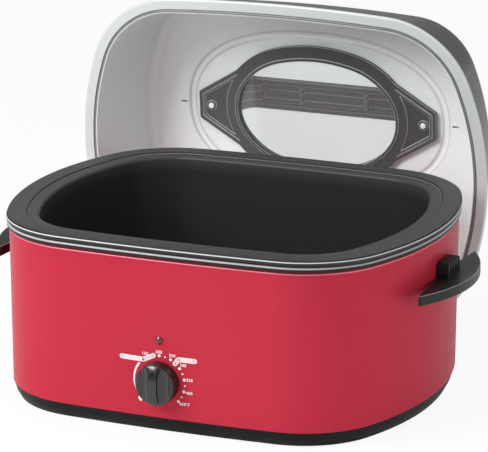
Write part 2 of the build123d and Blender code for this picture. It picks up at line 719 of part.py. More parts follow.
gasket_width = 3.0
glass_inset = window_border - glass_lap
gasket_inset = glass_inset - gasket_width
seat = Pos(0, window_offset, 0)
dome -= seat * frame_oval.slab(gasket_inset, panel_middle - 5.0, panel_middle + 5.0)
dome += seat * bead_oval.ring(bead_section(bead_width / 2, panel_middle, panel_out + bead_lift))
inner_bead = bead_section(bead_width / 2 - lid_sheet * 0.75, panel_in - 1.0, panel_in + bead_lift)
dome -= seat * bead_oval.ring(inner_bead)
for side in (-1, 1):
    slot = extrude(SlotOverall(vent_length, vent_width), 10.0)
    dome -= Pos(side * vent_reach, window_offset, panel_middle - 5.0) * slot
    dome -= Pos(side * lug_screw_reach, window_offset, panel_middle) * Cylinder(tie_hole / 2, 10.0)
lid_parts["lid_shell"] = dome

# ---- window: glass in a gasket, clamped between an inner frame and an outer bezel ----
glass_low = panel_middle - glass_thickness / 2
glass_high = glass_low + glass_thickness
lid_parts["window_glass"] = seat * frame_oval.slab(glass_inset + seat_gap, glass_low, glass_high)
gasket = frame_oval.slab(gasket_inset + seat_gap, glass_low, glass_high)
gasket -= frame_oval.slab(glass_inset, glass_low - 1, glass_high + 1)
lid_parts["window_gasket"] = seat * gasket

lug_root_x, lug_root_y = 100.0, 56.4  # a point of the oval's edge where a lug's side leaves it
lug_round = 4.0


def lug(side):
    points = [
        (side * lug_root_x, lug_root_y),
        (side * lug_reach, lug_width / 2),
        (side * lug_reach, -lug_width / 2),
        (side * lug_root_x, -lug_root_y),
    ]
    face = make_face(Polyline(*points, close=True))
    return fillet(face.vertices().group_by(Axis.X)[-1 if side > 0 else 0], lug_round)


frame_low = glass_low - frame_thickness
outline = fuse([frame_oval.face(), lug(1), lug(-1)])
frame_plate = Pos(0, 0, frame_low) * extrude(outline, frame_thickness)
lip_width = 4.0
frame_plate += frame_oval.slab(window_border - lip_width, frame_low - frame_lip, glass_low)
border_inset, line_inset, line_width = 9.0, 5.0, 1.2
screw_boss = 13.0
for side in (-1, 1):
    line = offset(lug(side), -line_inset) - offset(lug(side), -line_inset - line_width)
    field = offset(lug(side), -border_inset) - frame_oval.face(lip_width)
    field -= Pos(side * lug_screw_reach, 0) * Circle(screw_boss / 2)
    line -= frame_oval.face(lip_width)
    frame_plate -= Pos(0, 0, frame_low) * extrude(line + field, frame_lip)
frame_plate += frame_oval.slab(gasket_inset - 5.0, glass_low, panel_in - seat_gap)
frame_plate -= frame_oval.slab(gasket_inset, glass_low, panel_in)
frame_plate -= frame_oval.slab(window_border, frame_low - 2 * frame_lip, glass_low + 1)
for side in (-1, 1):
    boss_hole = Pos(side * lug_screw_reach, 0, glass_low)
    frame_plate += boss_hole * Cylinder(screw_boss / 2, 2 * (panel_in - glass_low))
    frame_plate -= boss_hole * Cylinder(tie_hole / 2, 30.0)
lid_parts["window_frame"] = seat * frame_plate

bezel_thickness = 3.0
bezel = frame_oval.slab(4.0, panel_out + seat_gap, glass_high + bezel_thickness)
bezel -= frame_oval.slab(gasket_inset, panel_out, glass_high + 0.01)
bezel -= frame_oval.slab(window_border, panel_out - 1, glass_high + bezel_thickness + 1)
lid_parts["window_bezel"] = seat * bezel

# ---- lid handle: hollow moulded bridge over the window, on the two lugs ----
foot_length, foot_height, leg_lean = 30.0, 10.0, 20.0
inner_foot = lug_reach - foot_length
inner_top = inner_foot - leg_lean + 6.0
grip_low, grip_high = panel_out + grip_height - grip_thickness, panel_out + grip_height
bridge = [
    (-lug_reach, panel_out),
    (-lug_reach, panel_out + foot_height),
    (leg_lean - lug_reach, grip_high),
    (lug_reach - leg_lean, grip_high),
    (lug_reach, panel_out + foot_height),
    (lug_reach, panel_out),
    (inner_foot, panel_out),
    (inner_top, grip_low),
    (-inner_top, grip_low),
    (-inner_foot, panel_out),
]
side_view = make_face(Polyline(*bridge, close=True))
side_view = fillet(side_view.vertices().group_by(Axis.Y)[-1], 34.0)
side_view = fillet(side_view.vertices().filter_by(lambda v: v.Y == grip_low), 20.0)
grip = extrude(Plane.XZ * side_view, grip_width / 2, both=True)
outer_edges = grip.faces().sort_by(Axis.Z)[-1].edges().filter_by(Axis.X)
grip = fillet(outer_edges, 7.0)
pocket_wall, pocket_depth, pocket_side = 3.0, 11.0, 6.0
pocket_end = inner_top - 16.0
pockets = [(-grip_rib_spacing / 2, grip_rib_spacing / 2)]
pockets += [(grip_rib_spacing / 2, pocket_end), (-pocket_end, -grip_rib_spacing / 2)]
for low_x, high_x in pockets:
    grip -= Pos((low_x + high_x) / 2, 0, grip_low) * Box(
        high_x - low_x - pocket_wall, grip_width - 2 * pocket_side, 2 * pocket_depth
    )
lid_screw_bite = 12.0
for side in (-1, 1):
    pilot_hole = Cylinder(pilot / 2 + pilot_room, 2 * lid_screw_bite)
    grip -= Pos(side * lug_screw_reach, 0, panel_out) * pilot_hole
lid_parts["lid_handle"] = seat * grip

lid_screws = []
for side in (-1, 1):
    at = Pos(side * lug_screw_reach, window_offset, 0)
    head = stand(0, 0, frame_low - head_height, frame_low, head_diameter)
    head = fillet(head.edges().group_by(Axis.Z)[0], 1.2)
    shank = stand(0, 0, frame_low, panel_out + lid_screw_bite - 2.0, pilot)
    lid_screws.append(at * (head + shank))
lid_parts["lid_screws"] = Compound(lid_screws)

for name, piece in lid_parts.items():
    nodes[name] = stand_up * piece

for name, piece in nodes.items():
    export_step(piece, f"parts/{name}.step")
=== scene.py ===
import math

import bmesh
import bpy
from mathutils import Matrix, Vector
from mathutils.bvhtree import BVHTree
from mathutils.geometry import delaunay_2d_cdt


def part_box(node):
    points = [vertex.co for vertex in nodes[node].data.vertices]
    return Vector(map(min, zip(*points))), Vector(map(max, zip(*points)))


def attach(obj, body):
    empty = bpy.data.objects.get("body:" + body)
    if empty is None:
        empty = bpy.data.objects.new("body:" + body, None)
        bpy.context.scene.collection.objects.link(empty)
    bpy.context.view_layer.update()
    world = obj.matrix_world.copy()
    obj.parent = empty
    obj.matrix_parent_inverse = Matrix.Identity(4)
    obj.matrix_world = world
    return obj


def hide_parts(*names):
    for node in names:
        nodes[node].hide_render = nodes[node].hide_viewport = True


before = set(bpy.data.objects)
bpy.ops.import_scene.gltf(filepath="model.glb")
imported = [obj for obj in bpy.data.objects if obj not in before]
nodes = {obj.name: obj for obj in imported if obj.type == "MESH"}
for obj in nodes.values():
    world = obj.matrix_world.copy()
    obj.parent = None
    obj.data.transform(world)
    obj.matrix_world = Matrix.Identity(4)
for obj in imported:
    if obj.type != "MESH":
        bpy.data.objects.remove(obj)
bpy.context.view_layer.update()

# ---- view: a long lens, a little above the rim and to the right of the front ----
# The oven stands square on the table, so its right end shows as well as its front.
turn, tilt = 0.3916, 0.27591  # to the left and downwards, in radians
camera_place = (1.39146, -3.34639, 1.21618)
lens_share = 3197.39 / 488  # focal length over the picture's width
camera_data = bpy.data.cameras.new("camera")
camera_data.sensor_width = 36.0
camera_data.lens = lens_share * camera_data.sensor_width
camera_data.clip_end = 50.0
camera = bpy.data.objects.new("camera", camera_data)
camera.location = camera_place
look = Vector((-math.sin(turn) * math.cos(tilt), math.cos(turn) * math.cos(tilt), -math.sin(tilt)))
camera.rotation_mode = "QUATERNION"
camera.rotation_quaternion = look.to_track_quat("-Z", "Y")
bpy.context.scene.collection.objects.link(camera)
bpy.context.scene.camera = camera
bpy.context.scene.view_settings.view_transform = "Standard"

# ---- floor and lamps: a plain white table under large soft lamps ----
# The table shows white to the eye and in reflections, and keeps the oven's soft shadow.


class Value:
    """A socket of a finish's nodes, so that shader maths is written as plain sums."""

    def __init__(self, finish, socket):
        self.finish = finish
        self.socket = socket

    def math(self, operation, *values):
        """One step of arithmetic on this and other values."""
        return self.finish.node("ShaderNodeMath", {"operation": operation}, dict(enumerate(values)))

    def __add__(self, other):
        return self.math("ADD", self, other)

    def __radd__(self, other):
        return self.math("ADD", other, self)

    def __sub__(self, other):
        return self.math("SUBTRACT", self, other)

    def __rsub__(self, other):
        return self.math("SUBTRACT", other, self)

    def __mul__(self, other):
        return self.math("MULTIPLY", self, other)

    def __rmul__(self, other):
        return self.math("MULTIPLY", other, self)

    def __gt__(self, other):
        return self.math("GREATER_THAN", self, other)

    def __lt__(self, other):
        return self.math("LESS_THAN", self, other)

    def ramp(self, low, high, to_low=0.0, to_high=1.0):
        """Maps low..high to to_low..to_high, held at both ends."""
        limits = {"Value": self, "From Min": low, "From Max": high, "To Min": to_low, "To Max": to_high}
        return self.finish.node("ShaderNodeMapRange", {"clamp": True}, limits)

    def spread(self, to_low, to_high, reach=0.2):
        """Maps the middle of a noise, within that reach of a half, to to_low..to_high."""
        return self.ramp(0.5 - reach, 0.5 + reach, to_low, to_high)


class Finish:
    """One material: a Principled shader, and the nodes that vary it over a surface."""

    def __init__(self, name, **constants):
        self.material = bpy.data.materials.new(name)
        self.material.use_nodes = True
        self.tree = self.material.node_tree
        self.shader = self.tree.nodes["Principled BSDF"]
        for socket, value in constants.items():
            self.shader.inputs[socket.replace("_", " ")].default_value = value

    def node(self, kind, settings=None, inputs=None, output=0):
        """Adds any node: its settings first, then the values or links of its sockets."""
        made = self.tree.nodes.new(kind)
        for key, value in (settings or {}).items():
            setattr(made, key, value)
        for key, value in (inputs or {}).items():
            if isinstance(value, Value):
                self.tree.links.new(value.socket, made.inputs[key])
            else:
                made.inputs[key].default_value = value
        return Value(self, made.outputs[output])

    def vary(self, **links):
        """Feeds sockets of the shader from values that change over the surface."""
        for socket, value in links.items():
            self.tree.links.new(value.socket, self.shader.inputs[socket.replace("_", " ")])

    def place(self, stretch=(1.0, 1.0, 1.0)):
        """The point on the piece in metres, stretched, which rides with the piece."""
        point = self.node("ShaderNodeTexCoord", output="Object")
        return self.node("ShaderNodeMapping", inputs={"Vector": point, "Scale": stretch})

    def axis(self, name):
        """One coordinate of the point on the piece: X, Y or Z, in metres."""
        return self.node("ShaderNodeSeparateXYZ", inputs={"Vector": self.place()}, output=name)

    def normal(self):
        """The way the surface faces, which turns with the piece."""
        return self.node("ShaderNodeTexCoord", output="Normal")

    def facing(self, name):
        """How far the surface faces along X, Y or Z, from -1 to 1."""
        return self.node("ShaderNodeSeparateXYZ", inputs={"Vector": self.normal()}, output=name)

    def along(self, first, second):
        """How far one vector goes along another."""
        sockets = {0: first, 1: second}
        return self.node("ShaderNodeVectorMath", {"operation": "DOT_PRODUCT"}, sockets, output="Value")

    def noise(self, scale, detail=2.0, rough=0.5, stretch=(1.0, 1.0, 1.0)):
        """A cloudy value from 0 to 1, with that many blotches to a metre."""
        sockets = {"Vector": self.place(stretch), "Scale": scale, "Detail": detail, "Roughness": rough}
        return self.node("ShaderNodeTexNoise", inputs=sockets)

    def mix(self, share, first, second):
        """Blends two colours."""
        return self.node("ShaderNodeMix", {"data_type": "RGBA"}, {0: share, 6: first, 7: second}, 2)

    def soft(self, radius):
        """The way the surface faces, with the piece's edges rounded to that radius in metres."""
        return self.node("ShaderNodeBevel", {"samples": 6}, {"Radius": radius})

    def edge(self, radius):
        """1 along the edges of the piece, falling to 0 at that distance from them."""
        flat = self.node("ShaderNodeNewGeometry", output="Normal")
        return self.along(flat, self.soft(radius)).ramp(0.99, 0.85)

    def bump(self, height, depth, strength=1.0, radius=0.0):
        """A bump of that depth in metres over edges of that radius, which feeds Normal."""
        sockets = {"Height": height, "Distance": depth, "Strength": strength}
        if radius:
            sockets["Normal"] = self.soft(radius)
        self.vary(Normal=self.node("ShaderNodeBump", inputs=sockets))


def rgb(red, green, blue):
    """A colour from the 0-255 values that it shows on a screen."""
    return tuple(((c / 255 + 0.055) / 1.055) ** 2.4 for c in (red, green, blue)) + (1.0,)


def add_mesh(name, points, faces, finish):
    """A new object of these points and faces in that finish."""
    mesh = bpy.data.meshes.new(name)
    mesh.from_pydata(points, [], faces)
    mesh.materials.append(finish.material)
    made = bpy.data.objects.new(name, mesh)
    bpy.context.scene.collection.objects.link(made)
    return made


table_reach = 30.0
table_corners = [(-table_reach, -table_reach, 0), (table_reach, -table_reach, 0)]
table_corners += [(table_reach, table_reach, 0), (-table_reach, table_reach, 0)]
white = (1.0, 1.0, 1.0, 1.0)
table_white = Finish("table_white", Base_Color=(0.82, 0.82, 0.82, 1.0), Roughness=0.7)
glow = table_white.node("ShaderNodeEmission", inputs={"Color": white, "Strength": 1.0})
to_eye = table_white.node("ShaderNodeLightPath", output="Is Camera Ray")
in_gloss = table_white.node("ShaderNodeLightPath", output="Is Glossy Ray")
through_glass = table_white.node("ShaderNodeLightPath", output="Is Transmission Ray")
seen_share = to_eye * 0.92 + in_gloss * 0.35 + through_glass * 0.9
shaded = Value(table_white, table_white.shader.outputs[0])
blend = table_white.node("ShaderNodeMixShader", inputs={0: seen_share, 1: shaded, 2: glow})
table_surface = table_white.tree.nodes["Material Output"].inputs["Surface"]
table_white.tree.links.new(blend.socket, table_surface)
add_mesh("table", table_corners, [(0, 1, 2, 3)], table_white)

room_light = 0.45
world = bpy.data.worlds.new("world")
bpy.context.scene.world = world
world.use_nodes = True
room = world.node_tree.nodes["Background"]
room.inputs["Color"].default_value = white
room.inputs["Strength"].default_value = room_light


def lamp(name, place, aim, size, power):
    """A soft rectangular lamp of that size in metres and power in watts, turned to its aim."""
    data = bpy.data.lights.new(name, "AREA")
    data.shape = "RECTANGLE"
    data.size, data.size_y = size
    data.energy = power
    made = bpy.data.objects.new(name, data)
    made.location = place
    made.rotation_mode = "QUATERNION"
    made.rotation_quaternion = (Vector(aim) - Vector(place)).to_track_quat("-Z", "Y")
    bpy.context.scene.collection.objects.link(made)


lamp("key_lamp", (-1.3, -1.9, 1.45), (0.0, 0.0, 0.12), (1.3, 0.8), 41.0)
lamp("side_lamp", (2.6, -1.2, 1.2), (0.0, 0.0, 0.15), (1.2, 1.2), 7.0)
lamp("top_lamp", (0.0, 0.3, 2.4), (0.0, 0.1, 0.0), (2.0, 1.4), 16.0)
lamp("lid_lamp", (-0.5, -0.6, 1.05), (0.0, 0.35, 0.25), (0.5, 0.5), 7.0)
lamp("right_lamp", (1.2, -0.15, 0.28), (0.24, 0.25, 0.14), (0.5, 0.4), 1.8)

# ---- base tray and feet: one black moulding on four rubber pads ----
# Filled polypropylene with a fine spark-eroded texture, a little worn and greyer along
# the foot of its wall, where it is slid about. The pads are turned from plain rubber.


def dress(finish, *names):
    """Gives these pieces of the oven their finish."""
    for name in names:
        mesh = nodes[name].data
        mesh.materials.clear()
        mesh.materials.append(finish.material)


def named(start):
    """The names of all pieces of the oven that start so."""
    return [name for name in nodes if name.startswith(start)]


scuff_full, scuff_top = 0.0015, 0.0060  # heights on the wall, over the table
base_mould = Finish("base_mould", Roughness=0.5, Specular_IOR_Level=0.2)
base_grain = base_mould.noise(1500.0, 4.0, 0.6)
base_foot = base_mould.axis("Z").ramp(scuff_full, scuff_top, 1.0, 0.0)
base_rub = base_foot * base_mould.noise(60.0, 4.0).ramp(0.4, 0.7)
base_black = base_mould.mix(base_grain, rgb(5, 6, 6), rgb(14, 16, 15))
base_mould.vary(Base_Color=base_mould.mix(base_rub * 0.5, base_black, rgb(84, 84, 80)))
base_mould.vary(Roughness=base_grain.spread(0.4, 0.6, 0.3))
base_mould.bump(base_grain, 0.00006, radius=0.0008)
dress(base_mould, "base_tray")

pad_rubber = Finish("pad_rubber", Roughness=0.8, Specular_IOR_Level=0.25)
pad_dust = pad_rubber.noise(300.0, 5.0, 0.7)
pad_rubber.vary(Base_Color=pad_rubber.mix(pad_dust.ramp(0.45, 0.75), rgb(22, 22, 22), rgb(60, 59, 56)))
pad_rubber.bump(pad_rubber.noise(1200.0), 0.00008)
dress(pad_rubber, *named("foot_"))

# ---- screws: pan heads, zinc plated ----
# They tie the base, shell and shield together, and draw the handles on through their
# backing plates.
zinc = Finish("zinc", Metallic=1.0)
zinc_bloom = zinc.noise(500.0, 4.0, 0.6)
zinc.vary(Base_Color=zinc.mix(zinc_bloom, rgb(196, 198, 200), rgb(238, 238, 234)))
zinc.vary(Roughness=zinc_bloom.spread(0.18, 0.34))
dress(zinc, "base_screws", "handle_screws")

# ---- outer shell: one wrap of steel sheet in satin metallic red ----
# Sprayed and baked with fine mica in the coat, with a painted highlight pale along the top
# bend, and the slight orange peel of a sprayed coat.
red_paint = Finish("red_paint", Metallic=0.2, Coat_Roughness=0.25, Specular_IOR_Level=0.06)
mica = red_paint.noise(1600.0, 3.0)
wash = red_paint.noise(2.5, 2.0)
shell_low, shell_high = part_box("outer_shell")
bend_height = 0.0022
# painted highlight: pale pink along the shell's top bend
bend_highlight = red_paint.axis("Z").ramp(shell_high.z - bend_height, shell_high.z - 0.4 * bend_height)
red_cloud = (mica * 0.6 + wash * 0.4).spread(0.0, 1.0, 0.15)
red_body = red_paint.mix(red_cloud, rgb(170, 38, 57), rgb(187, 49, 68))
red_paint.vary(Base_Color=red_paint.mix(bend_highlight, red_body, rgb(255, 152, 172)))
red_paint.vary(Roughness=mica.spread(0.34, 0.42))
red_paint.vary(Coat_Weight=wash.spread(0.03, 0.07))
red_paint.bump(red_paint.noise(220.0, 2.0), 0.00002, 0.4)
dress(red_paint, "outer_shell")

# ---- heat shield, straps and backing plates: bare galvanised sheet ----
# Rolled sheet with the drawn marks of the mill along its length.
mill_sheet = Finish("mill_sheet", Metallic=1.0)
spangle = mill_sheet.noise(90.0, 4.0, 0.6)
drawn = mill_sheet.noise(400.0, 3.0, 0.5, (0.05, 1.0, 1.0))
mill_sheet.vary(Base_Color=mill_sheet.mix(spangle, rgb(150, 152, 153), rgb(190, 191, 190)))
mill_sheet.vary(Roughness=(spangle * 0.5 + drawn * 0.5).spread(0.28, 0.46, 0.15))
dress(mill_sheet, "heat_shield", *named("heater_strap"), *named("handle_plate"))

# ---- inner well: aluminised steel liner under the pan ----
# It is spun and pressed, so it is streaked round its wall and tinted a little by heat. The
# edge of its flange, in the gap between the pan and the collar, is painted dark as shade.
well_steel = Finish("well_steel", Metallic=1.0)
well_streak = well_steel.noise(500.0, 3.0, 0.5, (0.04, 0.04, 1.0))
tint_top, tint_full = 0.12, 0.06  # heights that the tint of heat deepens between
flange_depth, flange_fade = 0.004, 0.001
heat_tint = well_steel.axis("Z").ramp(tint_top, tint_full) * well_steel.noise(14.0, 3.0).ramp(0.35, 0.7)
flange_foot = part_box("inner_well")[1].z - flange_depth
# painted shade: the flange's edge, in the gap between pan and collar, is dark
flange_edge_shade = well_steel.axis("Z").ramp(flange_foot, flange_foot + flange_fade)
well_bright = well_steel.mix(well_streak, rgb(176, 177, 176), rgb(218, 218, 214))
well_bright = well_steel.mix(flange_edge_shade, well_bright, rgb(44, 45, 46))
well_steel.vary(Base_Color=well_steel.mix(heat_tint * 0.5, well_bright, rgb(150, 130, 100)))
well_steel.vary(Roughness=well_streak.spread(0.22, 0.38))
dress(well_steel, "inner_well")

# ---- heater: mica band, glass-fibre blanket and ceramic spacers ----
# The band is layered mica on its strip, the blanket is felted glass, and the spacers and
# the terminal block are unglazed white ceramic.
mica_band = Finish("mica_band", Roughness=0.55)
flake_place = mica_band.place((1.0, 1.0, 2.0))
flake = mica_band.node("ShaderNodeTexVoronoi", inputs={"Vector": flake_place, "Scale": 240.0})
mica_band.vary(Base_Color=mica_band.mix(flake.ramp(0.0, 0.6), rgb(186, 160, 118), rgb(136, 110, 74)))
dress(mica_band, "heater_band")

felt = Finish("felt", Roughness=0.95, Specular_IOR_Level=0.1)
fibres = felt.noise(700.0, 6.0, 0.8, (1.0, 1.0, 0.25))
felt.vary(Base_Color=felt.mix(fibres, rgb(206, 200, 182), rgb(244, 240, 228)))
felt.bump(fibres, 0.0005)
dress(felt, "insulation_blanket")

steatite = Finish("steatite", Roughness=0.75)
steatite_pore = steatite.noise(900.0, 4.0)
steatite.vary(Base_Color=steatite.mix(steatite_pore, rgb(222, 218, 206), rgb(242, 240, 232)))
steatite.bump(steatite_pore, 0.00005)
dress(steatite, "terminal_block", *named("well_spacer"))

# ---- top collar: rolled ring under the pan's rim ----
# Satin black enamel over steel, with a painted highlight along the top bend, and painted shade
# with a painted red reflection of the shell below on its foot.
collar_black = Finish("collar_black", Roughness=0.35, Coat_Roughness=0.2, Specular_IOR_Level=0.12)
collar_speck = collar_black.noise(800.0, 3.0)
collar_low, collar_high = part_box("top_collar")
collar_height = collar_black.axis("Z")
# painted highlight: a light band along the collar's top bend
highlight_depth, highlight_fade = 0.0025, 0.0006
highlight_foot = collar_high.z - highlight_depth
collar_bend_highlight = collar_height.ramp(highlight_foot, highlight_foot + highlight_fade)
collar_bend_highlight = collar_bend_highlight * collar_height.ramp(collar_high.z, collar_high.z - highlight_fade)
# painted shade with a painted red reflection of the shell on the collar's foot
foot_shade_height, foot_shade_fade = 0.0040, 0.0008
foot_shade_top = collar_low.z + foot_shade_height
collar_foot_shade = collar_height.ramp(foot_shade_top, foot_shade_top - foot_shade_fade)
collar_side = collar_black.mix(collar_speck, rgb(26, 28, 28), rgb(38, 40, 40))
collar_side = collar_black.mix(collar_foot_shade, collar_side, rgb(78, 4, 16))
collar_black.vary(Base_Color=collar_black.mix(collar_bend_highlight * 0.75, collar_side, rgb(190, 190, 192)))
collar_black.vary(Coat_Weight=collar_speck.spread(0.05, 0.12))
dress(collar_black, "top_collar")

# ---- roasting pan: pressed steel with a dark non-stick coat ----
# Sprayed in and out with a speckled grey coat, satin on the flat rim, with painted shade darker
# inside, at the front of the rim and along its top bend, and a painted highlight along the outer roll.
pan_coat = Finish("pan_coat", Coat_Roughness=0.25, Specular_IOR_Level=0.2)
fleck = pan_coat.noise(1300.0, 3.0)
pan_low, pan_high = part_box("roasting_pan")
roll_middle, roll_half = pan_high.z - 0.0021, 0.0009
bend_start, bend_full = pan_high.z - 0.0017, pan_high.z - 0.0010
wall_start, wall_full = pan_high.z - 0.004, pan_high.z - 0.020
front_start, front_full = pan_low.y + 0.05, pan_low.y + 0.01
pan_height = pan_coat.axis("Z")
# painted highlight: a bright line along the outer roll of the rim
roll_highlight = pan_height.ramp(roll_middle - roll_half, roll_middle)
roll_highlight = roll_highlight * pan_height.ramp(roll_middle + roll_half, roll_middle)
faces_out = pan_coat.facing("Z").ramp(0.75, 0.55)
# painted shade: the coat darkens down the inside wall of the pan
pan_inside_shade = pan_height.ramp(wall_start, wall_full)
rim_grey = pan_coat.mix(fleck, rgb(45, 47, 47), rgb(61, 63, 63))
shaded_inside_grey = pan_coat.mix(fleck, rgb(26, 27, 28), rgb(38, 39, 40))
# painted shade: the front of the rim is darker than its sides
rim_front_shade = pan_coat.axis("Y").ramp(front_start, front_full)
rim_grey = pan_coat.mix(rim_front_shade * 0.6, rim_grey, rgb(30, 32, 33))
coat_grey = pan_coat.mix(pan_inside_shade, rim_grey, shaded_inside_grey)
# painted shade: a dark line along the rim's top bend
top_bend_shade = pan_coat.facing("Z").ramp(0.99, 0.92) * pan_height.ramp(bend_start, bend_full)
coat_grey = pan_coat.mix(top_bend_shade * 0.8, coat_grey, rgb(16, 18, 18))
pan_coat.vary(Base_Color=pan_coat.mix(roll_highlight * faces_out * 0.9, coat_grey, rgb(226, 228, 228)))
pan_coat.vary(Roughness=fleck.spread(0.4, 0.52))
pan_coat.vary(Coat_Weight=fleck.spread(0.02, 0.08))
pan_coat.bump(fleck, 0.00003)
dress(pan_coat, "roasting_pan")

# ---- wire rack: welded wire, nickel-chrome plated ----
# Bright where the wires run free and a little burnt beside the welds.
plated = Finish("plated", Metallic=1.0)
plate_haze = plated.noise(160.0, 4.0)
plated.vary(Base_Color=plated.mix(plate_haze.ramp(0.4, 0.8), rgb(226, 227, 228), rgb(168, 160, 148)))
plated.vary(Roughness=plate_haze.spread(0.1, 0.26))
dress(plated, "wire_rack")

# ---- thermostat, lamp holder and gland, with their bushing, nut and shaft ----
# Brown phenolic case on a turned shaft, held by a brass nut behind the knob. The lamp
# holder is pale nylon, and the gland is black rubber, as the window's gasket is.
phenolic = Finish("phenolic", Roughness=0.45)
filler = phenolic.noise(900.0, 5.0, 0.7)
phenolic.vary(Base_Color=phenolic.mix(filler, rgb(44, 32, 24), rgb(70, 54, 42)))
dress(phenolic, "thermostat")

brass = Finish("brass", Metallic=1.0)
brass_stain = brass.noise(400.0, 4.0)
brass.vary(Base_Color=brass.mix(brass_stain, rgb(196, 164, 92), rgb(226, 202, 140)))
brass.vary(Roughness=brass_stain.spread(0.22, 0.4))
dress(brass, "thermostat_nut")

turned = Finish("turned", Metallic=1.0)
tool_marks = turned.noise(2200.0, 2.0, 0.5, (0.1, 1.0, 0.1))
turned.vary(Base_Color=turned.mix(tool_marks, rgb(176, 177, 178), rgb(214, 214, 212)))
turned.vary(Roughness=tool_marks.spread(0.2, 0.36))
dress(turned, "thermostat_shaft", "knob_insert")

nylon = Finish("nylon", Roughness=0.5)
nylon.vary(Base_Color=nylon.mix(nylon.noise(500.0, 3.0), rgb(220, 214, 196), rgb(236, 231, 216)))
dress(nylon, "lamp_holder")

grommet = Finish("grommet", Roughness=0.7, Specular_IOR_Level=0.3)
grommet_bloom = grommet.noise(700.0, 4.0)
grommet.vary(Base_Color=grommet.mix(grommet_bloom, rgb(24, 24, 25), rgb(44, 44, 44)))
grommet.bump(grommet_bloom, 0.00005)
dress(grommet, "cable_gland", "window_gasket")

# ---- indicator lamp: a small domed lens of dark red polycarbonate ----
# Unlit, so it shows nearly brown, with a ring of prisms moulded inside the dome.
lens_red = Finish("lens_red", Roughness=0.1, Coat_Weight=0.6, Coat_Roughness=0.05)
lens_depth = lens_red.noise(420.0, 2.0)
lens_red.vary(Base_Color=lens_red.mix(lens_depth, rgb(70, 18, 20), rgb(112, 34, 36)))
dress(lens_red, "lamp_lens")

# ---- control knob: black phenolic with a polished face ----
# A domed disc with a grip bar between two scoops. Hands polish the bar and the face, and
# the skirt behind them stays dull.
knob_black = Finish("knob_black", Coat_Roughness=0.08)
knob_grain = knob_black.noise(1800.0, 3.0)
knob_black.vary(Base_Color=knob_black.mix(knob_grain, rgb(5, 6, 6), rgb(12, 13, 13)))
polish_depth, polish_fade = 0.0070, 0.0015
polish_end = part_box("control_knob")[0].y + polish_depth
knob_face = knob_black.axis("Y").ramp(polish_end + polish_fade, polish_end)
knob_black.vary(Roughness=knob_grain.spread(0.36, 0.42) - knob_face * 0.18)
knob_black.vary(Coat_Weight=knob_face * knob_grain.spread(0.4, 0.6))
dress(knob_black, "control_knob")

# ---- dial scale: white screen print on the shell round the knob ----
# Each mark is a film of ink that follows the bowed wall. From the off mark a tapered arc
# leads to two outlined bands and to the dots of the heats, with their numbers.
shell_mesh = nodes["outer_shell"].data
shell_tree = BVHTree.FromPolygons(
    [point.co for point in shell_mesh.vertices], [list(face.vertices) for face in shell_mesh.polygons]
)
dial_x, dial_z = -0.006, 0.062
ink_film = 0.0001
wall_clearance = 0.05  # from where the wall is felt for, in front of it


def on_wall(x, z, films):
    """A point on the front wall, right of and above the dial's middle, under so many films."""
    start = Vector((dial_x + x, shell_low.y - wall_clearance, dial_z + z))
    hit = shell_tree.ray_cast(start, Vector((0.0, 1.0, 0.0)))[0]
    return (hit.x, hit.y - films * ink_film, hit.z)


def on_ring(angle, radius):
    """A point on the scale's ring; the angle is clockwise from the top, in degrees."""
    return radius * math.sin(math.radians(angle)), radius * math.cos(math.radians(angle))


class Print:
    """Marks that are printed in one ink."""

    def __init__(self, name, finish, films):
        self.name = name
        self.finish = finish
        self.films = films
        self.points = []
        self.faces = []

    def add(self, outline):
        """A filled patch from the outline's points, anticlockwise."""
        first = len(self.points)
        self.points += [on_wall(x, z, self.films) for x, z in outline]
        self.faces.append(tuple(range(first, first + len(outline))))

    def dot(self, x, z, radius, sides=20):
        """A round dot."""
        turns = [2 * math.pi * i / sides for i in range(sides)]
        self.add([(x + radius * math.cos(a), z + radius * math.sin(a)) for a in turns])

    def stroke(self, path, half_width, step=0.0015):
        """A band of even width along a path of straight runs, with round ends."""
        for start, end in zip(path, path[1:]):
            run = Vector(end) - Vector(start)
            side = Vector((-run.y, run.x)).normalized() * half_width
            count = max(1, round(run.length / step))
            for i in range(count):
                a = Vector(start) + run * (i / count)
                b = Vector(start) + run * ((i + 1) / count)
                self.add([a - side, b - side, b + side, a + side])
        for x, z in path:
            self.dot(x, z, half_width)

    def arc(self, first, last, radius, width_first, width_last, steps=40):
        """An arc on the ring that tapers from one width to the other."""
        for i in range(steps):
            corners = []
            for j, side in ((i, -0.5), (i + 1, -0.5), (i + 1, 0.5), (i, 0.5)):
                width = width_first + (width_last - width_first) * j / steps
                angle = first + (last - first) * j / steps
                corners.append(on_ring(angle, radius + side * width))
            self.add(corners[::-1] if last > first else corners)

    def words(self, text, x, z, height):
        """Upright figures of that height, centred on a point."""
        cap_share = 0.69  # height of a figure over the letter size
        boldness = 0.02  # spread of its strokes over its height
        curve = bpy.data.curves.new(self.name, "FONT")
        curve.body = text
        curve.size = height / cap_share
        curve.align_x = "CENTER"
        curve.offset = height * boldness
        curve.space_character = 1.1
        curve.resolution_u = 3
        drawn_text = bpy.data.objects.new(self.name, curve)
        flat = bpy.data.meshes.new_from_object(drawn_text)
        first = len(self.points)
        places = [(x + point.co.x, z + point.co.y - height / 2) for point in flat.vertices]
        self.points += [on_wall(px, pz, self.films) for px, pz in places]
        self.faces += [tuple(first + i for i in face.vertices) for face in flat.polygons]
        bpy.data.objects.remove(drawn_text)
        bpy.data.curves.remove(curve)
        bpy.data.meshes.remove(flat)

    def finish_up(self):
        """Lays all the marks on the shell as one piece."""
        made = add_mesh(self.name, self.points, self.faces, self.finish)
        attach(made, "housing")


